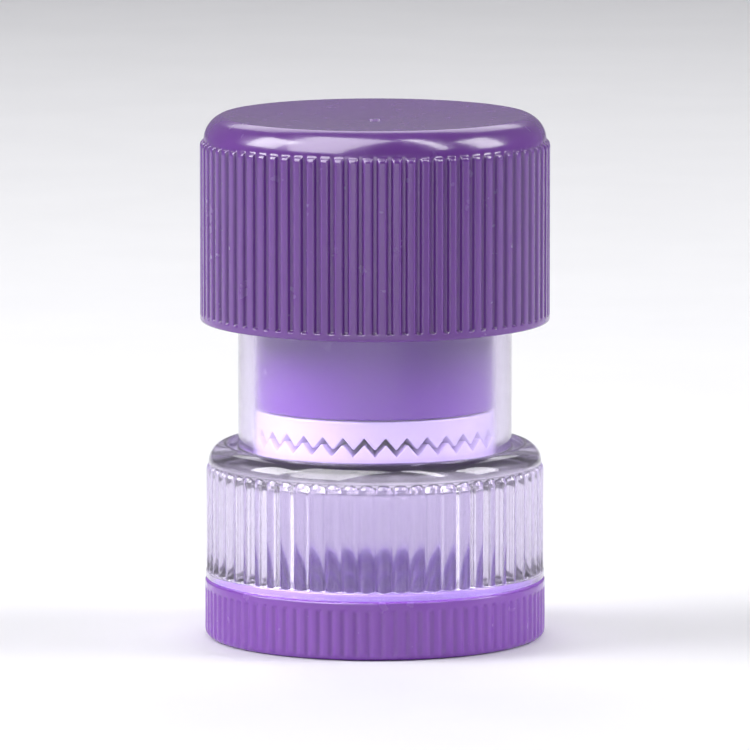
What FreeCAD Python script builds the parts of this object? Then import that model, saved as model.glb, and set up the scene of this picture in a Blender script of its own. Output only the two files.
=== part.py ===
"""A twist-down pill crusher with a storage compartment in its foot.

Millimetres, +Z up. The origin is the centre of the flat underside of the storage base, and +Z is the
axis that every piece turns about. The crusher stands closed: the cap is screwed all the way down and
the storage base all the way up.
"""

import FreeCAD, Part
import math
import os

import Sketcher
from FreeCAD import Placement, Rotation, Vector

# ---------------------------------------------------------------- driving dimensions
# Names that end in _radius, _width or _depth are across; _bottom, _top and _plane are heights above
# the surface that the crusher stands on.
DIMENSIONS = {
    # storage base: the purple fluted foot, a screw-on lid turned upwards
    "base_radius": 23.4,
    "base_top": 8.0,
    "base_edge_round": 1.0,
    "foot_recess_radius": 19.0,
    "foot_recess_depth": 0.8,
    "base_floor_top": 2.2,
    "base_bore_radius": 21.5,
    "base_flutes": 86,
    "base_flute_depth": 0.25,
    "base_flute_floor": 0.35,
    "base_flute_mouth": 1.5,
    "base_flute_bottom": 1.1,
    "base_flute_top": 7.2,
    # storage thread: 2.4 millimetres a turn, right-handed
    "storage_pitch": 2.4,
    "neck_thread_bottom": 2.8,
    "neck_thread_turns": 1.6,
    "base_thread_turns": 1.15,
    "storage_thread_depth": 0.65,
    "storage_thread_foot": 1.05,
    "storage_thread_crest": 0.45,
    # sealing ring round the neck, between the base and the clear body
    "seal_inner_radius": 20.85,
    "seal_width": 1.25,
    "seal_height": 0.9,
    "seal_clearance": 0.1,
    # clear body: threaded neck inside the base, ribbed storage skirt, smooth crushing barrel
    "neck_radius": 20.7,
    "neck_bottom": 2.6,
    "skirt_gap": 0.15,
    "skirt_root_radius": 22.5,
    "skirt_rib_reach": 0.7,
    "skirt_rim_radius": 23.3,
    "skirt_rim_height": 1.05,
    "skirt_ribs": 62,
    "skirt_rib_radius": 1.15,
    "skirt_rib_top": 24.2,
    "skirt_bore_radius": 19.3,
    "skirt_ceiling": 23.2,
    "shoulder_radius": 22.9,
    "shoulder_bottom": 24.1,
    "shoulder_step": 0.4,
    "shoulder_top_radius": 20.2,
    "shoulder_top": 26.7,
    "barrel_groove_depth": 0.5,
    "barrel_radius": 18.8,
    "barrel_bore_radius": 16.65,
    "barrel_floor_top": 25.4,
    "barrel_top": 66.0,
    "barrel_lip_round": 0.5,
    # crushing thread: four millimetres a turn, right-handed
    "cap_pitch": 4.0,
    "barrel_thread_bottom": 48.0,
    "barrel_thread_turns": 3.1,
    "cap_thread_bottom": 46.0,
    "cap_thread_turns": 2.0,
    "cap_thread_depth": 1.5,
    "cap_thread_foot": 1.6,
    "cap_thread_crest": 0.8,
    "cap_thread_easing": 0.1,
    # crushing teeth: two faces of radial ridges that mesh with an even gap between them
    "tooth_count": 36,
    "tooth_height": 1.5,
    "tooth_land": 0.12,
    "tooth_inner_radius": 4.0,
    "anvil_radius": 16.55,
    "anvil_mid_plane": 27.85,
    "teeth_gap": 0.9,
    "disc_radius": 16.2,
    "disc_top": 31.85,
    "disc_edge_round": 0.3,
    # split snap ring that hangs the crushing disc in the plunger and lets it swivel
    "snap_ring_radius": 14.2,
    "snap_ring_wall": 1.8,
    "snap_ring_top": 36.4,
    "snap_bead_reach": 0.55,
    "snap_bead_bottom": 34.5,
    "snap_bead_height": 0.9,
    "snap_slot": 1.4,
    "snap_slots": 3,
    "snap_clearance": 0.25,
    "swivel_gap": 0.15,
    # plunger: the purple tube inside the barrel
    "plunger_radius": 16.3,
    "plunger_wall": 1.8,
    "plunger_edge_round": 0.3,
    # grip cap: the purple fluted cap
    "cap_radius": 24.0,
    "cap_bottom": 43.7,
    "cap_top": 72.0,
    "cap_wall": 3.35,
    "cap_roof": 2.8,
    "cap_bevel": 2.0,
    "cap_edge_round": 0.3,
    "cap_rib_height": 0.5,
    "cap_rib_bottom": 44.6,
    "cap_rib_top": 68.5,
    "cap_flutes": 76,
    "cap_flute_floor": 0.5,
    "cap_flute_mouth": 1.3,
    "cap_flute_overcut": 0.05,
    "cap_flute_run_out": 1.5,
    "cap_crest_radius": 20.9,
    "cap_dish": 0.7,
    "gate_radius": 0.8,
    "gate_height": 0.12,
    "seat_depth": 0.4,
    "seat_clearance": 0.05,
}

THREAD_BITE = 0.2  # how far a thread's foot reaches into the wall that carries it
FLUTE_FLARE = 1.0  # how far outside a flute's floor its mouth width is measured


class Size:
    """A number that also knows the formula which gives it from the sheet's cells."""

    def __init__(self, value, formula):
        self.value = value
        self.formula = formula

    def __add__(self, other):
        other = sized(other)
        return Size(self.value + other.value, f"({self.formula} + {other.formula})")

    def __sub__(self, other):
        other = sized(other)
        return Size(self.value - other.value, f"({self.formula} - {other.formula})")

    def __mul__(self, other):
        other = sized(other)
        return Size(self.value * other.value, f"({self.formula} * {other.formula})")

    def __truediv__(self, other):
        other = sized(other)
        return Size(self.value / other.value, f"({self.formula} / {other.formula})")

    def __rtruediv__(self, other):
        return sized(other) / self

    def __neg__(self):
        return Size(-self.value, f"(0 - {self.formula})")


def sized(number):
    """The number as a Size, so that plain numbers and cells mix in one formula."""
    return number if isinstance(number, Size) else Size(float(number), repr(float(number)))


class Sheet:
    """The driving dimensions as spreadsheet cells, each read as an attribute of this object."""

    def __init__(self, document):
        self.cells = document.addObject("Spreadsheet::Sheet", "Dimensions")
        for row, (name, value) in enumerate(DIMENSIONS.items(), start=1):
            self.cells.set(f"A{row}", name.replace("_", " "))
            self.cells.set(f"B{row}", str(value))
            self.cells.setAlias(f"B{row}", name)
            setattr(self, name, Size(float(value), f"Dimensions.{name}"))


document = FreeCAD.newDocument("pill_crusher")
d = Sheet(document)
document.recompute()


# ---------------------------------------------------------------- sketches and features
def bind(feature, name, size):
    """Give a property its value and the formula that keeps it tied to the sheet."""
    size = sized(size)
    setattr(feature, name, size.value)
    feature.setExpression(name, size.formula)


def new_body(label):
    body = document.addObject("PartDesign::Body", label)
    body.Label = label
    return body


def origin_part(body, role):
    return next(part for part in body.Origin.OriginFeatures if part.Role == role)


def new_sketch(body, name, plane, offset=None):
    """A sketch on one of the body's own planes, raised along the plane's normal by offset."""
    sketch = body.newObject("Sketcher::SketchObject", name)
    sketch.AttachmentSupport = [(origin_part(body, plane), "")]
    sketch.MapMode = "FlatFace"
    if offset is not None:
        sketch.AttachmentOffset = Placement(Vector(0, 0, offset.value), Rotation())
        sketch.setExpression(".AttachmentOffset.Base.z", offset.formula)
    return sketch


def place_point(sketch, curve, point, across, up, name):
    """Tie one end or centre of a curve to the sketch's origin, across and up."""
    for kind, size, axis in (("DistanceX", across, -2), ("DistanceY", up, -1)):
        if size is None:
            continue
        size = sized(size)
        if size.value == 0:
            sketch.addConstraint(Sketcher.Constraint("PointOnObject", curve, point, axis))
            continue
        index = sketch.addConstraint(Sketcher.Constraint(kind, -1, 1, curve, point, size.value))
        label = f"{name}_{'across' if kind == 'DistanceX' else 'up'}"
        sketch.renameConstraint(index, label)
        sketch.setExpression(f"Constraints.{label}", size.formula)


def arc_between(start, end, centre_up):
    """The anticlockwise arc from start to end whose centre lies at a given height."""
    (x1, y1), (x2, y2) = start, end
    squares = x1**2 - x2**2 + (y1 - centre_up) ** 2 - (y2 - centre_up) ** 2
    centre = Vector(squares / (2 * (x1 - x2)), centre_up, 0)
    first = math.atan2(y1 - centre_up, x1 - centre.x)
    last = math.atan2(y2 - centre_up, x2 - centre.x)
    if last < first:
        last += 2 * math.pi
    radius = math.hypot(x1 - centre.x, y1 - centre_up)
    return Part.ArcOfCircle(Part.Circle(centre, Vector(0, 0, 1), radius), first, last)


def outline(sketch, corners):
    """A closed outline, anticlockwise. A corner is (across, up), or (across, up, centre height)
    where an arc with its centre at that height leads to it."""
    count = len(corners)
    places = [(sized(corner[0]).value, sized(corner[1]).value) for corner in corners]
    for number in range(count):
        target = corners[(number + 1) % count]
        start, end = places[number], places[(number + 1) % count]
        if len(target) == 3:
            sketch.addGeometry(arc_between(start, end, sized(target[2]).value), False)
        else:
            sketch.addGeometry(Part.LineSegment(Vector(*start, 0), Vector(*end, 0)), False)
    for number in range(count):
        following = (number + 1) % count
        sketch.addConstraint(Sketcher.Constraint("Coincident", number, 2, following, 1))
    for number in range(count):
        place_point(sketch, number, 1, corners[number][0], corners[number][1], f"corner_{number}")
        target = corners[(number + 1) % count]
        if len(target) == 3:
            place_point(sketch, number, 3, None, target[2], f"centre_{number}")


def turned(body, name, corners):
    """The solid of revolution that most pieces start from."""
    sketch = new_sketch(body, f"{name}_outline", "XZ_Plane")
    outline(sketch, corners)
    solid = body.newObject("PartDesign::Revolution", name)
    solid.Profile = sketch
    solid.ReferenceAxis = (sketch, ["V_Axis"])
    solid.Angle = 360
    return solid


def around_axis(body, name, feature, count):
    """Repeat a feature evenly round the vertical axis."""
    pattern = body.newObject("PartDesign::PolarPattern", name)
    pattern.Originals = [feature]
    pattern.Axis = (origin_part(body, "Z_Axis"), [""])
    pattern.Angle = 360
    pattern.Occurrences = round(count.value)
    pattern.setExpression("Occurrences", count.formula)
    body.Tip = pattern
    return pattern


def vertical_flutes(body, name, count, root_radius, floor_width, mouth_width, bottom, top):
    """Flared grooves down the outside: flat-bottomed cuts whose floors lie at root_radius."""
    sketch = new_sketch(body, f"{name}_section", "XY_Plane", bottom)
    outer = root_radius + FLUTE_FLARE
    outline(sketch, [
        (root_radius, -floor_width / 2),
        (outer, -mouth_width / 2),
        (outer, mouth_width / 2),
        (root_radius, floor_width / 2),
    ])
    cut = body.newObject("PartDesign::Pocket", name)
    cut.Profile = sketch
    cut.Reversed = True
    bind(cut, "Length", top - bottom)
    return around_axis(body, f"{name}_round", cut, count)


def thread(body, name, wall_radius, depth, bottom, turns, pitch, foot, crest):
    """A right-handed screw ridge on a wall; a negative depth points it inwards, into a bore."""
    sketch = new_sketch(body, f"{name}_section", "XZ_Plane")
    inwards = sized(depth).value < 0
    rooted = wall_radius + THREAD_BITE if inwards else wall_radius - THREAD_BITE
    tip = wall_radius + depth
    slope = (foot - crest) / 2
    corners = [
        (rooted, bottom),
        (tip, bottom + slope),
        (tip, bottom + slope + crest),
        (rooted, bottom + foot),
    ]
    if inwards:
        corners.reverse()
    outline(sketch, corners)
    ridge = body.newObject("PartDesign::AdditiveHelix", name)
    ridge.Profile = sketch
    ridge.ReferenceAxis = (sketch, ["V_Axis"])
    ridge.Mode = "pitch-height-angle"
    ridge.LeftHanded = False
    bind(ridge, "Pitch", pitch)
    bind(ridge, "Height", pitch * turns)
    body.Tip = ridge
    return ridge


def radial_teeth(body, name, mid_plane, direction, radius):
    """Cut V-shaped valleys that run out from the axis and deepen towards the rim.

    The teeth stand up where direction is 1 and hang down where it is -1. Every valley is a
    pyramid whose point is on the axis at mid_plane, so crests and valleys both spread outwards.
    """
    beyond = 1.5
    above = 0.4

    def section(part_name, distance):
        sketch = new_sketch(body, part_name, "YZ_Plane", distance)
        share = distance / radius
        pitch_there = distance * (2 * math.pi) / d.tooth_count
        half_width = (pitch_there - d.tooth_land * share) / 2
        rise = d.tooth_height * share / 2
        crest = mid_plane + rise * direction
        floor = mid_plane - rise * direction
        widened = half_width * (1 + above)
        lifted = crest + (crest - floor) * above
        corners = [(0, floor), (widened, lifted), (-widened, lifted)]
        if direction < 0:
            corners = [(0, floor), (-widened, lifted), (widened, lifted)]
        outline(sketch, corners)
        return sketch

    valley = body.newObject("PartDesign::SubtractiveLoft", name)
    valley.Profile = section(f"{name}_rim", radius + beyond)
    valley.Sections = [section(f"{name}_hub", d.tooth_inner_radius)]
    valley.Ruled = True
    body.Tip = valley
    return around_axis(body, f"{name}_round", valley, d.tooth_count)


# ---------------------------------------------------------------- the pieces
skirt_bottom = d.base_top + d.skirt_gap


def make_storage_base():
    """Foot and lid of the compartment: a fluted cup that screws onto the clear body's neck."""
    body = new_body("storage_base")
    turned(body, "base_turned", [
        (0, d.foot_recess_depth),
        (d.foot_recess_radius, d.foot_recess_depth),
        (d.foot_recess_radius, 0),
        (d.base_radius - d.base_edge_round, 0),
        (d.base_radius, d.base_edge_round, d.base_edge_round),
        (d.base_radius, d.base_top),
        (d.base_bore_radius, d.base_top),
        (d.base_bore_radius, d.base_floor_top),
        (0, d.base_floor_top),
    ])
    thread(
        body, "base_thread", d.base_bore_radius, -d.storage_thread_depth,
        d.neck_thread_bottom + d.storage_pitch / 2, d.base_thread_turns,
        d.storage_pitch, d.storage_thread_foot, d.storage_thread_crest,
    )
    vertical_flutes(
        body, "base_flutes", d.base_flutes, d.base_radius - d.base_flute_depth,
        d.base_flute_floor, d.base_flute_mouth, d.base_flute_bottom, d.base_flute_top,
    )
    return body


def make_storage_seal():
    """The soft ring round the neck that closes the joint between the base and the clear body."""
    body = new_body("storage_seal")
    outer = d.seal_inner_radius + d.seal_width
    top = d.base_top + d.seal_height
    turned(body, "seal_turned", [
        (d.seal_inner_radius, d.base_top),
        (outer, d.base_top),
        (outer, top),
        (d.seal_inner_radius, top),
    ])
    return body


def make_clear_body():
    """One clear moulding: threaded neck, ribbed skirt, rounded shoulder, threaded barrel."""
    body = new_body("clear_body")
    rabbet_radius = d.seal_inner_radius + d.seal_width + d.seal_clearance
    rabbet_top = d.base_top + d.seal_height + d.seal_clearance
    rim_top = skirt_bottom + d.skirt_rim_height
    groove_floor = d.shoulder_top - d.barrel_groove_depth
    lip_start = d.barrel_top - d.barrel_lip_round
    turned(body, "body_turned", [
        (0, d.skirt_ceiling),
        (d.skirt_bore_radius, d.skirt_ceiling),
        (d.skirt_bore_radius, d.neck_bottom),
        (d.neck_radius, d.neck_bottom),
        (d.neck_radius, rabbet_top),
        (rabbet_radius, rabbet_top),
        (rabbet_radius, skirt_bottom),
        (d.skirt_rim_radius, skirt_bottom),
        (d.skirt_rim_radius, rim_top),
        (d.skirt_root_radius, rim_top),
        (d.skirt_root_radius, d.shoulder_bottom - d.shoulder_step),
        (d.shoulder_radius, d.shoulder_bottom),
        (d.shoulder_top_radius, d.shoulder_top, d.shoulder_bottom),
        (d.shoulder_top_radius, groove_floor),
        (d.barrel_radius, groove_floor),
        (d.barrel_radius, lip_start),
        (d.barrel_radius - d.barrel_lip_round, d.barrel_top, lip_start),
        (d.barrel_bore_radius + d.barrel_lip_round, d.barrel_top),
        (d.barrel_bore_radius, lip_start, lip_start),
        (d.barrel_bore_radius, d.barrel_floor_top),
        (0, d.barrel_floor_top),
    ])
    # the ribs stand on the rim, clear of the rabbet inside it
    rib_bottom = rabbet_top + d.seal_clearance
    rib_crest_radius = d.skirt_root_radius + d.skirt_rib_reach
    rib_axis = rib_crest_radius - d.skirt_rib_radius
    sketch = new_sketch(body, "rib_outline", "XZ_Plane")
    rib_dome = d.skirt_rib_top - d.skirt_rib_radius
    outline(sketch, [
        (rib_axis, rib_bottom),
        (rib_crest_radius, rib_bottom),
        (rib_crest_radius, rib_dome),
        (rib_axis, d.skirt_rib_top, rib_dome),
    ])
    rib = body.newObject("PartDesign::Revolution", "rib")
    rib.Profile = sketch
    rib.ReferenceAxis = (sketch, ["Edge4"])
    rib.Angle = 360
    body.Tip = rib
    around_axis(body, "ribs_round", rib, d.skirt_ribs)
    thread(
        body, "neck_thread", d.neck_radius, d.storage_thread_depth, d.neck_thread_bottom,
        d.neck_thread_turns, d.storage_pitch, d.storage_thread_foot, d.storage_thread_crest,
    )
    thread(
        body, "barrel_thread", d.barrel_radius, d.cap_thread_depth, d.barrel_thread_bottom,
        d.barrel_thread_turns, d.cap_pitch, d.cap_thread_foot, d.cap_thread_crest,
    )
    return body


def make_anvil_disc():
    """The toothed plate that lies on the barrel's floor."""
    body = new_body("anvil_disc")
    hub_share = d.tooth_inner_radius / d.anvil_radius
    hub_top = d.anvil_mid_plane + d.tooth_height * hub_share / 2
    turned(body, "anvil_turned", [
        (0, d.barrel_floor_top),
        (d.anvil_radius, d.barrel_floor_top),
        (d.anvil_radius, d.anvil_mid_plane + d.tooth_height / 2),
        (d.tooth_inner_radius, hub_top),
        (0, hub_top),
    ])
    radial_teeth(body, "anvil_valley", d.anvil_mid_plane, 1, d.anvil_radius)
    return body


def make_crush_disc():
    """The toothed plate under the plunger, with a split snap ring that it swivels on."""
    body = new_body("crush_disc")
    mid_plane = d.anvil_mid_plane + d.teeth_gap
    hub_share = d.tooth_inner_radius / d.disc_radius
    hub_bottom = mid_plane - d.tooth_height * hub_share / 2
    edge_start = d.disc_top - d.disc_edge_round
    ring_bore = d.snap_ring_radius - d.snap_ring_wall
    bead_radius = d.snap_ring_radius + d.snap_bead_reach
    bead_top = d.snap_bead_bottom + d.snap_bead_height
    turned(body, "disc_turned", [
        (0, hub_bottom),
        (d.tooth_inner_radius, hub_bottom),
        (d.disc_radius, mid_plane - d.tooth_height / 2),
        (d.disc_radius, edge_start),
        (d.disc_radius - d.disc_edge_round, d.disc_top, edge_start),
        (d.snap_ring_radius, d.disc_top),
        (d.snap_ring_radius, d.snap_bead_bottom),
        (bead_radius, d.snap_bead_bottom),
        (d.snap_ring_radius, bead_top),
        (d.snap_ring_radius, d.snap_ring_top),
        (ring_bore, d.snap_ring_top),
        (ring_bore, d.disc_top),
        (0, d.disc_top),
    ])
    slot_bottom = d.disc_top + d.snap_slot / 2
    slot_sketch = new_sketch(body, "snap_slot_section", "XY_Plane", slot_bottom)
    half = d.snap_slot / 2
    reach = bead_radius + d.snap_clearance
    outline(slot_sketch, [(-reach, -half), (reach, -half), (reach, half), (-reach, half)])
    slot = body.newObject("PartDesign::Pocket", "snap_slot_cut")
    slot.Profile = slot_sketch
    slot.Reversed = True
    bind(slot, "Length", d.snap_ring_top - slot_bottom + d.snap_clearance)
    body.Tip = slot
    around_axis(body, "snap_slots_round", slot, d.snap_slots)
    radial_teeth(body, "disc_valley", mid_plane, -1, d.disc_radius)
    # half a tooth round from the anvil, so that each tip hangs over a valley
    half_tooth = 180 / d.tooth_count
    body.Placement = Placement(Vector(), Rotation(Vector(0, 0, 1), half_tooth.value))
    body.setExpression("Placement.Rotation.Angle", half_tooth.formula)
    return body


def make_plunger():
    """The tube that pushes the crushing disc down, grooved inside for the disc's snap ring."""
    body = new_body("plunger")
    bore = d.plunger_radius - d.plunger_wall
    bottom = d.disc_top + d.swivel_gap
    edge_end = bottom + d.plunger_edge_round
    top = d.cap_top - d.cap_roof + d.seat_depth
    groove_radius = d.snap_ring_radius + d.snap_bead_reach + d.snap_clearance
    groove_bottom = d.snap_bead_bottom - d.swivel_gap
    groove_top = d.snap_bead_bottom + d.snap_bead_height + d.swivel_gap
    turned(body, "plunger_turned", [
        (bore, bottom),
        (d.plunger_radius - d.plunger_edge_round, bottom),
        (d.plunger_radius, edge_end, edge_end),
        (d.plunger_radius, top),
        (bore, top),
        (bore, groove_top),
        (groove_radius, groove_top),
        (groove_radius, groove_bottom),
        (bore, groove_bottom),
    ])
    return body


def make_grip_cap():
    """The fluted cap: threaded bore, dished top, and a ring seat that holds the plunger's end."""
    body = new_body("grip_cap")
    bore = d.cap_radius - d.cap_wall
    roof = d.cap_top - d.cap_roof
    wall_radius = d.cap_radius - d.cap_rib_height
    edge_end = d.cap_bottom + d.cap_edge_round
    dish_floor = d.cap_top - d.cap_dish
    gate_top = dish_floor + d.gate_height
    seat_outer = d.plunger_radius + d.seat_clearance
    seat_inner = d.plunger_radius - d.plunger_wall - d.seat_clearance
    turned(body, "cap_turned", [
        (bore, d.cap_bottom),
        (d.cap_radius - d.cap_edge_round, d.cap_bottom),
        (d.cap_radius, edge_end, edge_end),
        (d.cap_radius, d.cap_rib_top - d.cap_rib_height),
        (wall_radius, d.cap_rib_top),
        (d.cap_crest_radius, d.cap_top, d.cap_rib_top),
        (d.gate_radius, dish_floor),
        (d.gate_radius, gate_top),
        (0, gate_top),
        (0, roof),
        (seat_inner, roof),
        (seat_inner, roof + d.seat_depth),
        (seat_outer, roof + d.seat_depth),
        (seat_outer, roof),
        (bore - d.cap_bevel, roof),
        (bore, roof - d.cap_bevel),
    ])
    thread(
        body, "cap_thread", bore, d.cap_thread_easing - d.cap_thread_depth, d.cap_thread_bottom,
        d.cap_thread_turns, d.cap_pitch, d.cap_thread_foot, d.cap_thread_crest,
    )
    vertical_flutes(
        body, "cap_flutes", d.cap_flutes, wall_radius - d.cap_flute_overcut,
        d.cap_flute_floor, d.cap_flute_mouth, d.cap_rib_bottom, d.cap_rib_top + d.cap_flute_run_out,
    )
    return body


# ---------------------------------------------------------------- make, test and write
def test_document():
    """Stop at any feature that failed quietly."""
    for item in document.Objects:
        faults = {"Invalid", "Error"} & set(item.State)
        if faults:
            reason = item.getStatusString()
            raise RuntimeError(f"{item.Name} ({item.TypeId}) is {sorted(faults)}: {reason}")


def write_pieces(pieces):
    os.makedirs("parts", exist_ok=True)
    for piece in pieces:
        shape = piece.Shape
        if shape.isNull() or not shape.isValid():
            raise RuntimeError(f"{piece.Label} has no valid shape")
        if len(shape.Solids) != 1:
            raise RuntimeError(f"{piece.Label} has {len(shape.Solids)} solids")
        shape.exportStep(os.path.join("parts", f"{piece.Label}.step"))
        box = shape.BoundBox
        print(
            f"{piece.Label}: {shape.Volume:.1f} mm3, radius {box.XMax:.2f}, "
            f"height {box.ZMin:.2f} to {box.ZMax:.2f}, {len(shape.Faces)} faces"
        )


pieces = [
    make_storage_base(),
    make_storage_seal(),
    make_clear_body(),
    make_anvil_disc(),
    make_crush_disc(),
    make_plunger(),
    make_grip_cap(),
]
document.recompute()
test_document()
write_pieces(pieces)
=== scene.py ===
"""The looks of a screw-down pill crusher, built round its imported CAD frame.

Every visible piece is a smooth turned mesh made here, in metres, in the frame's own axes: +Z is the axis
that all of them share. Heights and radii that the frame knows are read from it.
"""

import math

import bmesh
import bpy
from mathutils import Matrix, Vector


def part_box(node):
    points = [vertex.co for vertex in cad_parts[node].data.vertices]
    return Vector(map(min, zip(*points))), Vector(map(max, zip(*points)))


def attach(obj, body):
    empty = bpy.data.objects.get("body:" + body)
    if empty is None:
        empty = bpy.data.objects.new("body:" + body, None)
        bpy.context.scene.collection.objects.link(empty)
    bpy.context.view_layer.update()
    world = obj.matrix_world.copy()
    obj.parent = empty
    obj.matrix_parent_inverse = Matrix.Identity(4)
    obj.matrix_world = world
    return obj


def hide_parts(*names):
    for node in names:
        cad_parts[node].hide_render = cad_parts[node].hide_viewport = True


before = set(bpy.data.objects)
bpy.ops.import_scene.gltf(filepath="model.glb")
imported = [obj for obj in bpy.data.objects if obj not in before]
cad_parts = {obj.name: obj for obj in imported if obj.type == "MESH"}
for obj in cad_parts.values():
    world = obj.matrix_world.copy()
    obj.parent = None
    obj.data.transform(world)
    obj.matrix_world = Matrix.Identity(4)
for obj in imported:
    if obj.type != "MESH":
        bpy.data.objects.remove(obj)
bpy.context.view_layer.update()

MM = 0.001
TURN = 2 * math.pi


# ---------------------------------------------------------------- places read from the frame
def reach(node):
    """Lowest height, highest height and outer radius of a CAD node, in millimetres."""
    low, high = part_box(node)
    return low.z / MM, high.z / MM, high.x / MM


BASE_BOTTOM, BASE_TOP, BASE_RADIUS = reach("storage_base")
SEAL_BOTTOM, SEAL_TOP, SEAL_RADIUS = reach("storage_seal")
NECK_BOTTOM, BARREL_TOP, RIM_RADIUS = reach("clear_body")
ANVIL_BOTTOM, _, ANVIL_RADIUS = reach("anvil_disc")
_, SNAP_RING_TOP, DISC_RADIUS = reach("crush_disc")
PLUNGER_BOTTOM, SEAT_TOP, PLUNGER_RADIUS = reach("plunger")
CAP_BOTTOM, CAP_TOP, CAP_RADIUS = reach("grip_cap")


# ---------------------------------------------------------------- outlines
SUPPORT = 0.35  # how far past a rounding an extra point keeps the wall flat, in roundings


def rounded(corners, looped=False, steps=5):
    """Points (radius, height) of an outline whose corners (radius, height, rounding) become arcs."""
    points = []
    count = len(corners)
    for number, (radius, height, rounding) in enumerate(corners):
        here = Vector((radius, height))
        at_end = not looped and number in (0, count - 1)
        if rounding == 0 or at_end:
            points.append((radius, height))
            continue
        before = (Vector(corners[number - 1][:2]) - here).normalized()
        after = (Vector(corners[(number + 1) % count][:2]) - here).normalized()
        half = before.angle(after) / 2
        start = here + before * (rounding / math.tan(half))
        end = here + after * (rounding / math.tan(half))
        centre = here + (before + after).normalized() * (rounding / math.sin(half))
        first = math.atan2(start.y - centre.y, start.x - centre.x)
        sweep = math.atan2(end.y - centre.y, end.x - centre.x) - first
        sweep = (sweep + math.pi) % TURN - math.pi
        support = before * (SUPPORT * rounding)
        points.append(tuple(start + support))
        for step in range(steps + 1):
            angle = first + sweep * step / steps
            points.append((
                centre.x + rounding * math.cos(angle),
                centre.y + rounding * math.sin(angle),
            ))
        points.append(tuple(end + after * (SUPPORT * rounding)))
    return points


def arc(start, end, centre_height, steps):
    """Points along the arc from start to end whose centre lies at a given height."""
    (x1, y1), (x2, y2) = start, end
    squares = x1**2 - x2**2 + (y1 - centre_height) ** 2 - (y2 - centre_height) ** 2
    centre_x = squares / (2 * (x1 - x2))
    size = math.hypot(x1 - centre_x, y1 - centre_height)
    first = math.atan2(y1 - centre_height, x1 - centre_x)
    last = math.atan2(y2 - centre_height, x2 - centre_x)
    angles = [first + (last - first) * step / steps for step in range(steps + 1)]
    return [(centre_x + size * math.cos(a), centre_height + size * math.sin(a)) for a in angles]


def rows(radius, start, end, spacing):
    """Points up or down a straight wall, close enough together to carry ribs' ends or a thread."""
    count = max(1, round(abs(end - start) / spacing))
    return [(radius, start + (end - start) * step / count) for step in range(count + 1)]


def smooth(value):
    """Zero up to nought, one from one, and an even S between them."""
    value = min(1.0, max(0.0, value))
    return value * value * (3 - 2 * value)


def spread_angles(repeats, phases, offset=0.0):
    """Angles round the axis that fall on the same phases of every repeated rib."""
    return [(turn + phase + offset) * TURN / repeats for turn in range(repeats) for phase in phases]


def even_angles(count):
    """Angles in equal steps once round the axis."""
    return [TURN * number / count for number in range(count)]


# ---------------------------------------------------------------- meshes
ON_AXIS = 0.01  # a smaller radius than this is one point on the axis
RUN_OUT = 0.07  # the part of a turn over which a thread fades in and out


def turned(name, outline, angles, shape=None, looped=False):
    """Turn an outline in millimetres round +Z. shape moves each point: (angle, radius, height) in, and
    (radius, height) out."""
    points, faces, rings = [], [], []
    for radius, height in outline:
        if radius < ON_AXIS:
            rings.append([len(points)])
            points.append((0, 0, height * MM))
            continue
        ring = []
        for angle in angles:
            across, up = shape(angle, radius, height) if shape else (radius, height)
            ring.append(len(points))
            points.append((across * math.cos(angle) * MM, across * math.sin(angle) * MM, up * MM))
        rings.append(ring)
    pairs = list(zip(rings, rings[1:]))
    if looped:
        pairs.append((rings[-1], rings[0]))
    count = len(angles)
    for lower, upper in pairs:
        for number in range(count):
            following = (number + 1) % count
            if len(lower) == 1:
                faces.append((lower[0], upper[following], upper[number]))
            elif len(upper) == 1:
                faces.append((lower[number], lower[following], upper[0]))
            else:
                faces.append((lower[number], lower[following], upper[following], upper[number]))
    mesh = bpy.data.meshes.new(name)
    mesh.from_pydata(points, [], faces)
    work = bmesh.new()
    work.from_mesh(mesh)
    bmesh.ops.recalc_face_normals(work, faces=work.faces)
    work.to_mesh(mesh)
    work.free()
    mesh.shade_smooth()
    piece = bpy.data.objects.new(name, mesh)
    bpy.context.scene.collection.objects.link(piece)
    return piece


def screw_ridge(angle, height, bottom, turns, pitch, foot, crest):
    """How far a right-handed screw ridge stands out at a point, from 0 to 1."""
    tallest = 0.0
    for lap in range(math.ceil(turns) + 1):
        along = angle % TURN / TURN + lap
        if along > turns:
            break
        off_centre = abs(height - bottom - foot / 2 - pitch * along)
        side = smooth((foot / 2 - off_centre) / ((foot - crest) / 2))
        run_out = smooth(along / RUN_OUT) * smooth((turns - along) / RUN_OUT)
        tallest = max(tallest, side * run_out)
    return tallest


def phase_of(angle, repeats, offset=0.0):
    """Where an angle falls in its repeat, from -0.5 to 0.5, with 0 at the middle of the rib."""
    return (angle * repeats / TURN - offset + 0.5) % 1.0 - 0.5


# ---------------------------------------------------------------- the pieces
STORAGE_PITCH = 2.4
STORAGE_THREAD = {"pitch": STORAGE_PITCH, "foot": 1.05, "crest": 0.45}
STORAGE_THREAD_DEPTH = 0.62
NECK_THREAD_BOTTOM = 2.8
CAP_PITCH = 4.0
CAP_THREAD = {"pitch": CAP_PITCH, "foot": 1.6, "crest": 0.8}
CAP_THREAD_DEPTH = 1.4
BARREL_THREAD_BOTTOM = 48.0
CAP_THREAD_BOTTOM = 46.0
THREAD_ROW = 0.13  # spacing of the points that carry the storage thread
CAP_THREAD_ROW = 0.2  # spacing of the points that carry the cap's thread
TOUCH = 0.02  # keeps faces that rest on each other from lying in one plane


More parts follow.
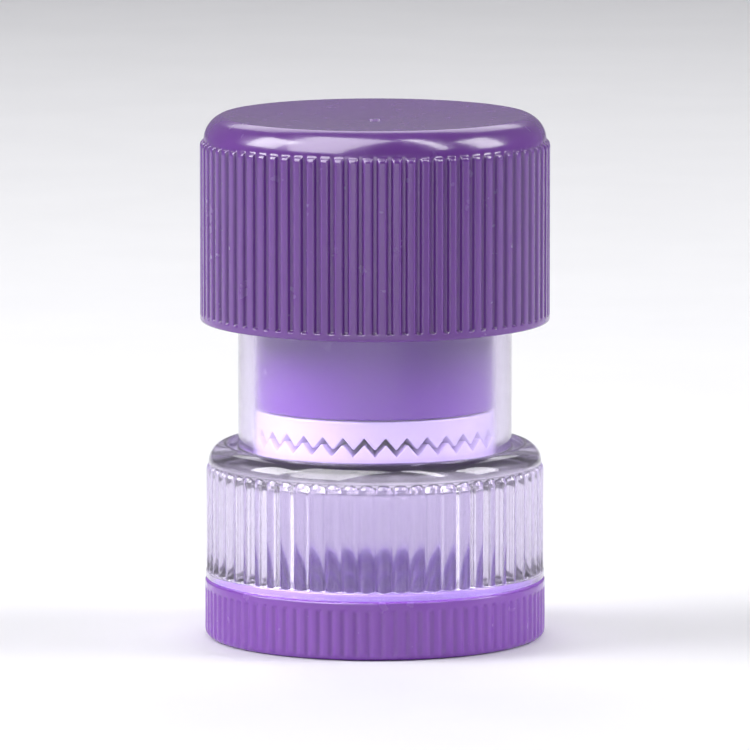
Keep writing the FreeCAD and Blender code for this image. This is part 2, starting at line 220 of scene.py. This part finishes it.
def make_storage_base():
    """Fluted foot: a cup with a screw thread inside its wall, which closes the compartment."""
    flutes, depth, half_flute = 86, 0.25, 0.36
    recess_radius, recess_depth = 19.0, 0.8
    bore, floor = 21.5, 2.2
    flute_bottom, flute_top, fade = 0.9, 7.1, 0.55
    thread_bottom = NECK_THREAD_BOTTOM + STORAGE_PITCH / 2

    def shape(angle, radius, height):
        if radius > BASE_RADIUS - 1.1:
            groove = smooth(1 - abs(phase_of(angle, flutes)) / half_flute)
            ends = smooth((height - flute_bottom + fade) / fade) * smooth((flute_top - height) / fade)
            return radius - depth * groove * ends, height
        if radius == bore:
            return radius - STORAGE_THREAD_DEPTH * screw_ridge(
                angle, height, thread_bottom, turns=1.15, **STORAGE_THREAD
            ), height
        return radius, height

    outline = rounded([
        (0, recess_depth, 0),
        (recess_radius, recess_depth, 0.3),
        (recess_radius, BASE_BOTTOM, 0.3),
        (BASE_RADIUS, BASE_BOTTOM, 1.0),
        (BASE_RADIUS, 3.5, 0),
    ])
    outline += rows(BASE_RADIUS, flute_top - fade - 0.1, flute_top + 0.1, 0.1)
    outline += rounded([
        (BASE_RADIUS, flute_top + 0.2, 0),
        (BASE_RADIUS, BASE_TOP, 0.25),
        (bore - 0.001, BASE_TOP, 0.1),
        (bore - 0.001, BASE_TOP - 0.2, 0),
    ])
    outline += rows(bore, BASE_TOP - 0.25, 3.7, THREAD_ROW)
    outline += rounded([
        (bore - 0.001, 3.6, 0),
        (bore - 0.001, floor, 0.5),
        (0, floor, 0),
    ])
    phases = [-0.5, -half_flute, -0.27, -0.18, -0.09, 0.0, 0.09, 0.18, 0.27, half_flute]
    return turned("foot_cup", outline, spread_angles(flutes, phases), shape)


def make_storage_seal():
    """The soft ring between the foot and the clear body."""
    inner = 20.85
    outline = rounded([
        (inner, SEAL_BOTTOM + TOUCH, 0.2),
        (SEAL_RADIUS, SEAL_BOTTOM + TOUCH, 0.2),
        (SEAL_RADIUS, SEAL_TOP, 0.2),
        (inner, SEAL_TOP, 0.2),
    ], looped=True)
    return turned("seal_ring", outline, even_angles(240), looped=True)


def make_clear_body():
    """One clear moulding: threaded neck, ribbed skirt, rounded shoulder and threaded barrel."""
    ribs, rib_radius, rib_axis = 62, 1.15, 22.05
    skirt_bottom, root, rim_top, dome = 8.15, 22.5, 9.2, 23.05
    shoulder_radius, shoulder_bottom = 22.9, 24.1
    shoulder_top_radius, shoulder_top, groove_floor = 20.2, 26.7, 26.2
    barrel, bore, floor = 18.8, 16.65, ANVIL_BOTTOM
    skirt_bore, neck, ceiling, rabbet_radius, rabbet_top = 19.3, 20.7, 23.2, 22.2, 9.0
    pitch_at_axis = TURN * rib_axis / ribs

    def shape(angle, radius, height):
        if radius >= root - 0.01 and rim_top - 0.3 < height < shoulder_bottom + 0.3:
            sideways = phase_of(angle, ribs) * pitch_at_axis
            lift = max(0.0, height - dome)
            squared = rib_radius**2 - sideways**2 - lift**2
            if squared > 0:
                return max(radius, rib_axis + math.sqrt(squared)), height
        if radius == neck:
            return radius + STORAGE_THREAD_DEPTH * screw_ridge(
                angle, height, NECK_THREAD_BOTTOM, turns=1.6, **STORAGE_THREAD
            ), height
        if radius == barrel:
            return radius + CAP_THREAD_DEPTH * screw_ridge(
                angle, height, BARREL_THREAD_BOTTOM, turns=3.1, **CAP_THREAD
            ), height
        return radius, height

    outline = rounded([
        (0, ceiling, 0),
        (skirt_bore, ceiling, 1.2),
        (skirt_bore, NECK_BOTTOM, 0.3),
        (neck - 0.001, NECK_BOTTOM, 0.15),
        (neck - 0.001, NECK_BOTTOM + 0.2, 0),
    ])
    outline += rows(neck, NECK_BOTTOM + 0.25, 8.0, THREAD_ROW)
    outline += rounded([
        (neck - 0.001, 8.1, 0),
        (neck - 0.001, rabbet_top, 0.12),
        (rabbet_radius, rabbet_top, 0.12),
        (rabbet_radius, skirt_bottom, 0.12),
        (RIM_RADIUS, skirt_bottom, 0.25),
        (RIM_RADIUS, rim_top, 0.25),
        (root, rim_top + 0.25, 0.1),
        (root, rim_top + 0.9, 0),
    ])
    outline += rows(root, dome - 0.3, shoulder_bottom - 0.4, 0.11)
    outline += rows(shoulder_radius - 0.1, shoulder_bottom - 0.12, shoulder_bottom - 0.06, 0.06)
    outline += arc(
        (shoulder_radius, shoulder_bottom), (shoulder_top_radius, shoulder_top), shoulder_bottom, 12
    )[:-1]
    outline += rounded([
        (shoulder_top_radius + 0.5, shoulder_top, 0),
        (shoulder_top_radius, shoulder_top, 0.12),
        (shoulder_top_radius, groove_floor, 0.12),
        (barrel - 0.001, groove_floor, 0.2),
        (barrel - 0.001, BARREL_THREAD_BOTTOM - 0.5, 0),
    ])
    outline += rows(barrel, BARREL_THREAD_BOTTOM - 0.2, 62.2, CAP_THREAD_ROW)
    outline += rounded([
        (barrel - 0.001, 62.4, 0),
        (barrel - 0.001, BARREL_TOP, 0.6),
        (bore, BARREL_TOP, 0.5),
        (bore, floor, 0.35),
        (0, floor, 0),
    ])
    phases = [-0.5, -0.46, -0.42, -0.34, -0.24, -0.12, 0.0, 0.12, 0.24, 0.34, 0.42, 0.46]
    return turned("clear_barrel_and_skirt", outline, spread_angles(ribs, phases), shape)


TEETH = 36
TOOTH_HEIGHT = 1.5
TOOTH_HUB = 4.0
RIM_EDGE = 0.15  # rounding where the teeth meet the rim
FADE_FROM = 0.4  # how far behind the mid-plane the teeth still shape the rim in full
FADE_TO = 1.7  # how far behind it they no longer do
PLAIN_RIM = 1.9  # how far behind it the rim's plain wall starts
# phases of one tooth, 0 at its crest: close together at the crest and the valley, so both stay crisp
TOOTH_PHASES = [-0.5, -0.47, -0.43, -0.25, -0.07, -0.03, 0.0, 0.03, 0.07, 0.25, 0.43, 0.47]


def tooth(angle, offset):
    """Height of the radial teeth at an angle, from -0.5 in a valley to 0.5 on a crest."""
    ramp = 0.5 - 2 * abs(phase_of(angle, TEETH, offset))
    blunt = 0.44
    return max(-blunt, min(blunt, ramp)) * 0.5 / blunt


def toothed_face(mid_plane, direction, radius, edge):
    """Outline from the hub out over the teeth and round the rim's edge, at the mid-plane's height."""
    hub_height = mid_plane + direction * TOOTH_HEIGHT * TOOTH_HUB / radius / 2
    inward = [
        (0, hub_height),
        (TOOTH_HUB - 0.2, hub_height),
        (TOOTH_HUB - 0.05, hub_height - 0.03 * direction),
    ]
    face = [(TOOTH_HUB + (radius - edge - TOOTH_HUB) * step / 6, mid_plane) for step in range(7)]
    quarter_turn = (0.39, 0.79, 1.18, 1.57)
    rim = [
        (radius - edge * (1 - math.sin(turn)), mid_plane - direction * edge * (1 - math.cos(turn)))
        for turn in quarter_turn
    ]
    return inward + face + rim


def toothed_shape(mid_plane, direction, radius, offset):
    """Lift the points of a toothed face, and fade the lift out down the rim."""
    def shape(angle, across, up):
        below = (mid_plane - up) * direction
        if across < TOOTH_HUB - 0.01 or below > FADE_TO or below < -0.01:
            return across, up
        share = across / radius * (1 - smooth((below - FADE_FROM) / (FADE_TO - FADE_FROM)))
        return across, up + direction * TOOTH_HEIGHT * share * tooth(angle, offset)
    return shape


def make_anvil_disc():
    """The toothed plate on the floor of the crushing chamber, teeth up."""
    mid_plane, half_tooth = 27.85, 0.5
    radius = ANVIL_RADIUS
    outline = toothed_face(mid_plane, 1, radius, RIM_EDGE)
    outline += [(radius, mid_plane - FADE_FROM), (radius, mid_plane - FADE_TO)]
    outline += rounded([
        (radius, mid_plane - PLAIN_RIM, 0),
        (radius, ANVIL_BOTTOM + TOUCH, 0.2),
        (0, ANVIL_BOTTOM + TOUCH, 0),
    ])
    angles = spread_angles(TEETH, TOOTH_PHASES, half_tooth)
    return turned("anvil_plate", outline, angles, toothed_shape(mid_plane, 1, radius, half_tooth))


def make_crush_disc():
    """The disc under the plunger, with the split snap ring that it swivels on."""
    mid_plane, top = 28.75, 31.85
    radius = DISC_RADIUS
    ring, ring_bore = 14.2, 12.4
    bead, bead_bottom, bead_top = 14.75, 34.5, 35.4
    slots, slot_width = 3, 1.4
    outline = toothed_face(mid_plane, -1, radius, RIM_EDGE)
    outline += [(radius, mid_plane + FADE_FROM), (radius, mid_plane + FADE_TO)]
    outline += rounded([
        (radius, mid_plane + PLAIN_RIM, 0),
        (radius, top, 0.3),
        (ring, top, 0.3),
        (ring, bead_bottom, 0.05),
        (bead, bead_bottom, 0.1),
        (ring, bead_top, 0.1),
        (ring, SNAP_RING_TOP, 0.3),
        (ring_bore, SNAP_RING_TOP, 0.3),
        (ring_bore, top, 0.4),
        (0, top, 0),
    ])
    angles = spread_angles(TEETH, TOOTH_PHASES, 0.0)
    piece = turned("crush_plate", outline, angles, toothed_shape(mid_plane, -1, radius, 0.0))
    for slot in range(slots):
        angle = slot * TURN / (2 * slots)
        cut_slot(piece, slot_width, 2 * bead + 1, top + 0.7, SNAP_RING_TOP + 1, angle)
    return piece


def cut_slot(piece, width, length, bottom, top, angle):
    """Split the snap ring with a straight slot across it."""
    mesh = bpy.data.meshes.new("slot_cutter")
    work = bmesh.new()
    bmesh.ops.create_cube(work, size=1)
    bmesh.ops.scale(work, vec=(length * MM, width * MM, (top - bottom) * MM), verts=work.verts)
    bmesh.ops.translate(work, vec=(0, 0, (top + bottom) / 2 * MM), verts=work.verts)
    bmesh.ops.rotate(work, matrix=Matrix.Rotation(angle, 3, "Z"), verts=work.verts)
    work.to_mesh(mesh)
    work.free()
    cutter = bpy.data.objects.new("slot_cutter", mesh)
    bpy.context.scene.collection.objects.link(cutter)
    cut = piece.modifiers.new("slot", "BOOLEAN")
    cut.operation = "DIFFERENCE"
    cut.object = cutter
    cut.solver = "EXACT"
    apply_modifiers(piece)
    bpy.data.objects.remove(cutter)


def apply_modifiers(piece):
    """Make the modifiers' result the piece's own mesh."""
    bpy.context.view_layer.update()
    evaluated = piece.evaluated_get(bpy.context.evaluated_depsgraph_get())
    mesh = bpy.data.meshes.new_from_object(evaluated)
    piece.modifiers.clear()
    piece.data = mesh


def make_plunger():
    """The tube inside the barrel, grooved inside for the disc's snap ring."""
    bore, groove, groove_bottom, groove_top = PLUNGER_RADIUS - 1.8, 15.0, 34.35, 35.55
    outline = rounded([
        (bore, PLUNGER_BOTTOM, 0.25),
        (PLUNGER_RADIUS, PLUNGER_BOTTOM, 0.35),
        (PLUNGER_RADIUS, SEAT_TOP - TOUCH, 0.2),
        (bore, SEAT_TOP - TOUCH, 0.2),
        (bore, groove_top, 0.15),
        (groove, groove_top, 0.1),
        (groove, groove_bottom, 0.1),
        (bore, groove_bottom, 0.15),
    ], looped=True)
    return turned("plunger_tube", outline, even_angles(360), looped=True)


def make_grip_cap():
    """The fluted cap: rounded shoulder, dished top, screw thread and plunger's seat inside."""
    ribs, wall_radius, band_top, rib_top, dome = 76, CAP_RADIUS - 0.5, 44.6, 68.5, 0.7
    bore, bevel, crest, dish = 20.65, 2.0, 20.9, 0.7
    roof, seat_inner, seat_outer = SEAT_TOP - 0.4, 14.45, PLUNGER_RADIUS + 0.05
    dish_radius = (crest**2 + dish**2) / (2 * dish)

    def shape(angle, radius, height):
        if radius == bore:
            return radius - CAP_THREAD_DEPTH * screw_ridge(
                angle, height, CAP_THREAD_BOTTOM, turns=2.0, **CAP_THREAD
            ), height
        if radius >= wall_radius - 0.3 and band_top - 0.2 < height < rib_top + 0.01:
            rib = smooth((0.385 - abs(phase_of(angle, ribs, 0.5))) / 0.15)
            climb = max(0.0, (height - rib_top + dome) / dome)
            rib *= math.sqrt(max(0.0, 1 - climb**2))
            return radius + (CAP_RADIUS - radius) * rib, height
        return radius, height

    outline = rounded([
        (0, roof, 0),
        (seat_inner, roof, 0.1),
        (seat_inner, SEAT_TOP, 0.02),
        (seat_outer, SEAT_TOP, 0.02),
        (seat_outer, roof, 0.1),
        (bore - bevel, roof, 0.5),
        (bore - 0.001, roof - bevel, 0.5),
        (bore - 0.001, 56.2, 0),
    ])
    outline += rows(bore, 56.0, 45.8, CAP_THREAD_ROW)
    outline += rounded([
        (bore - 0.001, 45.6, 0),
        (bore - 0.001, CAP_BOTTOM, 0.3),
        (CAP_RADIUS, CAP_BOTTOM, 0.35),
        (CAP_RADIUS, band_top, 0.15),
        (wall_radius, band_top + 0.3, 0.1),
        (wall_radius, band_top + 0.9, 0),
    ])
    outline += rows(wall_radius, rib_top - dome - 0.2, rib_top, 0.08)
    outline += arc((wall_radius, rib_top + 0.02), (crest + 0.25, CAP_TOP - 0.05), rib_top + 0.02, 14)[1:]
    outline += [(crest + 0.12, CAP_TOP - 0.014), (crest, CAP_TOP), (crest - 0.15, CAP_TOP - 0.004)]
    dish_floor = CAP_TOP - dish
    for step in range(1, 9):
        across = (crest - 0.4) * (1 - step / 9) + 1.6 * step / 9
        outline.append((across, dish_floor + across**2 / (2 * dish_radius)))
    # the mark of the moulding gate: a shallow ring round a low nub
    outline += [
        (1.3, dish_floor - 0.02),
        (1.05, dish_floor - 0.05),
        (0.82, dish_floor - 0.03),
        (0.74, dish_floor + 0.07),
        (0.62, dish_floor + 0.11),
        (0, dish_floor + 0.12),
    ]
    phases = [-0.5, -0.4, -0.36, -0.325, -0.29, -0.25, -0.12, 0.12, 0.25, 0.29, 0.325, 0.36, 0.4]
    return turned("fluted_cap", outline, spread_angles(ribs, phases, 0.5), shape)


# ---------------------------------------------------------------- materials
def new_material(name):
    """A material with one Principled shader, and its node tree, shader and output."""
    material = bpy.data.materials.new(name)
    material.use_nodes = True
    nodes = material.node_tree.nodes
    nodes.clear()
    output = nodes.new("ShaderNodeOutputMaterial")
    shader = nodes.new("ShaderNodeBsdfPrincipled")
    material.node_tree.links.new(shader.outputs["BSDF"], output.inputs["Surface"])
    return material, material.node_tree, shader, output


def noise(tree, features_per_metre, detail=3.0, stretch=(1, 1, 1)):
    """Noise through the piece's own space, with about this many features to a metre."""
    place = tree.nodes.new("ShaderNodeTexCoord")
    mapping = tree.nodes.new("ShaderNodeMapping")
    mapping.inputs["Scale"].default_value = stretch
    texture = tree.nodes.new("ShaderNodeTexNoise")
    texture.inputs["Scale"].default_value = features_per_metre
    texture.inputs["Detail"].default_value = detail
    tree.links.new(place.outputs["Object"], mapping.inputs["Vector"])
    tree.links.new(mapping.outputs["Vector"], texture.inputs["Vector"])
    return texture.outputs["Fac"]


def spread(tree, value, low, high):
    """Map a noise's middle range to low..high."""
    ranged = tree.nodes.new("ShaderNodeMapRange")
    ranged.inputs["From Min"].default_value = 0.3
    ranged.inputs["From Max"].default_value = 0.7
    ranged.inputs["To Min"].default_value = low
    ranged.inputs["To Max"].default_value = high
    tree.links.new(value, ranged.inputs["Value"])
    return ranged.outputs["Result"]


def blend_colours(tree, value, first, second):
    """A colour that goes from first to second as a value goes from 0 to 1."""
    mix = tree.nodes.new("ShaderNodeMix")
    mix.data_type = "RGBA"
    mix.inputs["A"].default_value = (*first, 1)
    mix.inputs["B"].default_value = (*second, 1)
    tree.links.new(value, mix.inputs["Factor"])
    return mix.outputs["Result"]


def bump(tree, value, shader, height, strength):
    """Fine relief of a given height in metres."""
    node = tree.nodes.new("ShaderNodeBump")
    node.inputs["Distance"].default_value = height
    node.inputs["Strength"].default_value = strength
    tree.links.new(value, node.inputs["Height"])
    tree.links.new(node.outputs["Normal"], shader.inputs["Normal"])


def moulded_plastic(name, deep, pale, low_gloss, high_gloss, grain):
    """Moulded plastic: faint flow marks in its colour, uneven polish and a fine skin."""
    material, tree, shader, _ = new_material(name)
    flow = spread(tree, noise(tree, 70, stretch=(1, 1, 0.35)), 0.0, 1.0)
    tree.links.new(blend_colours(tree, flow, deep, pale), shader.inputs["Base Color"])
    polish = noise(tree, 420, detail=6.0)
    tree.links.new(spread(tree, polish, low_gloss, high_gloss), shader.inputs["Roughness"])
    bump(tree, noise(tree, 2600, detail=4.0), shader, grain, 0.35)
    shader.inputs["IOR"].default_value = 1.5
    return material, shader


def make_purple(name, shade=1.0):
    """Glossy purple, its colour scaled by shade. The cap's darker copy is painted shade: the same plastic
    as the foot and the tube, drawn darker.
    """
    deep = [shade * level for level in (0.190, 0.050, 0.375)]
    pale = [shade * level for level in (0.211, 0.060, 0.410)]
    material, shader = moulded_plastic(name, deep, pale, 0.18, 0.28, 0.00001)
    shader.inputs["Subsurface Weight"].default_value = 0.15
    shader.inputs["Subsurface Radius"].default_value = (0.0008, 0.0004, 0.0016)
    shader.inputs["Subsurface Scale"].default_value = 1.0
    shader.inputs["Coat Weight"].default_value = 0.3
    shader.inputs["Coat Roughness"].default_value = 0.03
    return material


def make_white():
    material, shader = moulded_plastic(
        "white_plastic", (0.76, 0.68, 0.92), (0.83, 0.76, 0.97), 0.34, 0.48, 0.00002
    )
    shader.inputs["Subsurface Weight"].default_value = 0.35
    shader.inputs["Subsurface Radius"].default_value = (0.002, 0.0018, 0.0022)
    shader.inputs["Subsurface Scale"].default_value = 1.0
    return material


def make_seal_rubber():
    material, shader = moulded_plastic(
        "seal_rubber", (0.30, 0.19, 0.50), (0.36, 0.24, 0.56), 0.45, 0.6, 0.00003
    )
    shader.inputs["Subsurface Weight"].default_value = 0.3
    shader.inputs["Subsurface Radius"].default_value = (0.001, 0.001, 0.001)
    shader.inputs["Subsurface Scale"].default_value = 1.0
    return material


def make_clear():
    """Clear polished plastic. Lamps reach what is inside through a tinted, unbent stand-in."""
    material, tree, shader, output = new_material("clear_plastic")
    shader.inputs["Base Color"].default_value = (0.76, 0.70, 0.87, 1)
    shader.inputs["Transmission Weight"].default_value = 0.975
    shader.inputs["IOR"].default_value = 1.5
    shader.inputs["Roughness"].default_value = 0.11
    bump(tree, noise(tree, 160, detail=2.0), shader, 0.00004, 0.4)
    lamps = tree.nodes.new("ShaderNodeBsdfTransparent")
    lamps.inputs["Color"].default_value = (0.92, 0.90, 0.95, 1)
    path = tree.nodes.new("ShaderNodeLightPath")
    mix = tree.nodes.new("ShaderNodeMixShader")
    tree.links.new(path.outputs["Is Shadow Ray"], mix.inputs["Fac"])
    tree.links.new(shader.outputs["BSDF"], mix.inputs[1])
    tree.links.new(lamps.outputs["BSDF"], mix.inputs[2])
    tree.links.new(mix.outputs["Shader"], output.inputs["Surface"])
    return material


# ---------------------------------------------------------------- studio
def make_floor():
    """A pale paper floor, far wider than the view."""
    mesh = bpy.data.meshes.new("studio_floor")
    half = 6.0
    mesh.from_pydata(
        [(-half, -half, 0), (half, -half, 0), (half, half, 0), (-half, half, 0)], [], [(0, 1, 2, 3)]
    )
    floor = bpy.data.objects.new("studio_floor", mesh)
    bpy.context.scene.collection.objects.link(floor)
    material, tree, shader, _ = new_material("floor_paper")
    paper = spread(tree, noise(tree, 30), 0.0, 1.0)
    colour = blend_colours(tree, paper, (0.78, 0.78, 0.80), (0.80, 0.80, 0.82))
    tree.links.new(colour, shader.inputs["Base Color"])
    shader.inputs["Roughness"].default_value = 0.6
    mesh.materials.append(material)


def softbox(name, place, size, power, glint=False):
    """A rectangular area light, in metres and watts, that faces the crusher. A glint lights no matt face:
    it only shows in polished ones."""
    target = Vector((0, 0, (CAP_TOP + BASE_BOTTOM) / 2 * MM))
    light = bpy.data.lights.new(name, "AREA")
    light.shape = "RECTANGLE"
    light.size, light.size_y = size
    light.energy = power
    holder = bpy.data.objects.new(name, light)
    holder.location = place
    holder.rotation_euler = (target - Vector(place)).to_track_quat("-Z", "Y").to_euler()
    holder.visible_diffuse = not glint
    bpy.context.scene.collection.objects.link(holder)


def make_world():
    """A pale backdrop behind the crusher and a dim room in front of it."""
    front_strength, back_strength = 0.19, 0.30
    world = bpy.data.worlds.new("studio_world")
    world.use_nodes = True
    tree = world.node_tree
    background = tree.nodes["Background"]
    background.inputs["Color"].default_value = (0.90, 0.89, 0.94, 1)
    direction = tree.nodes.new("ShaderNodeTexCoord")
    axes = tree.nodes.new("ShaderNodeSeparateXYZ")
    ranged = tree.nodes.new("ShaderNodeMapRange")
    ranged.interpolation_type = "SMOOTHSTEP"
    ranged.inputs["From Min"].default_value = -0.4
    ranged.inputs["From Max"].default_value = 0.5
    ranged.inputs["To Min"].default_value = front_strength
    ranged.inputs["To Max"].default_value = back_strength
    tree.links.new(direction.outputs["Generated"], axes.inputs["Vector"])
    tree.links.new(axes.outputs["Y"], ranged.inputs["Value"])
    tree.links.new(ranged.outputs["Result"], background.inputs["Strength"])
    bpy.context.scene.world = world


def make_lights():
    """Soft light from both sides, the front and behind, and two glints on the polished shoulders."""
    softbox("left_box", (-0.72, -0.06, 0.52), (0.40, 0.50), 7.4)
    softbox("right_box", (0.72, -0.04, 0.50), (0.34, 0.50), 5.2)
    softbox("front_box", (0.0, -0.90, 0.05), (0.80, 0.10), 1.4)
    softbox("back_box", (0.0, 0.75, 0.80), (1.1, 0.6), 5.0)
    softbox("left_glint", (-0.34, -0.38, 0.62), (0.60, 1.0), 16.0, glint=True)
    softbox("right_glint", (0.39, -0.34, 0.64), (0.10, 0.7), 3.2, glint=True)


def make_camera():
    """The photographer's place: in front, a little above, far off with a long lens."""
    target = Vector((0, 0, (CAP_TOP + BASE_BOTTOM) / 2 * MM))
    elevation = math.radians(7.8)
    distance = 1.26
    camera = bpy.data.cameras.new("camera")
    camera.lens = 440
    camera.sensor_width = 36
    camera.clip_start = 0.01
    holder = bpy.data.objects.new("camera", camera)
    back = Vector((0, -math.cos(elevation), math.sin(elevation)))
    holder.location = target + back * distance
    holder.rotation_euler = (-back).to_track_quat("-Z", "Y").to_euler()
    bpy.context.scene.collection.objects.link(holder)
    bpy.context.scene.camera = holder


# ---------------------------------------------------------------- assembly
def assemble():
    """Make every piece, give it its material, tie it to its body and hide the CAD node it stands in for.
    """
    # the cap's copy at shade 0.62 is painted shade: the same purple as the foot, darkened
    purple, shaded_cap_purple = make_purple("purple_plastic"), make_purple("painted_shade_cap_plastic", 0.62)
    white, clear, rubber = make_white(), make_clear(), make_seal_rubber()
    pieces = [
        (make_storage_base(), "storage_base", "base", "purple_plastic", purple),
        (make_storage_seal(), "storage_seal", "seal", "seal_rubber", rubber),
        (make_clear_body(), "clear_body", "chamber", "clear_plastic", clear),
        (make_anvil_disc(), "anvil_disc", "chamber", "white_plastic", white),
        (make_crush_disc(), "crush_disc", "crusher", "white_plastic", white),
        (make_plunger(), "plunger", "cap", "purple_plastic", purple),
        (make_grip_cap(), "grip_cap", "cap", "purple_plastic", shaded_cap_purple),
    ]
    for piece, node, body, slot, material in pieces:
        piece.data.materials.clear()
        piece.data.materials.append(material)
        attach(piece, body)
        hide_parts(node)


make_camera()
make_world()
make_lights()
make_floor()
assemble()
bpy.context.scene.view_settings.view_transform = "Standard"
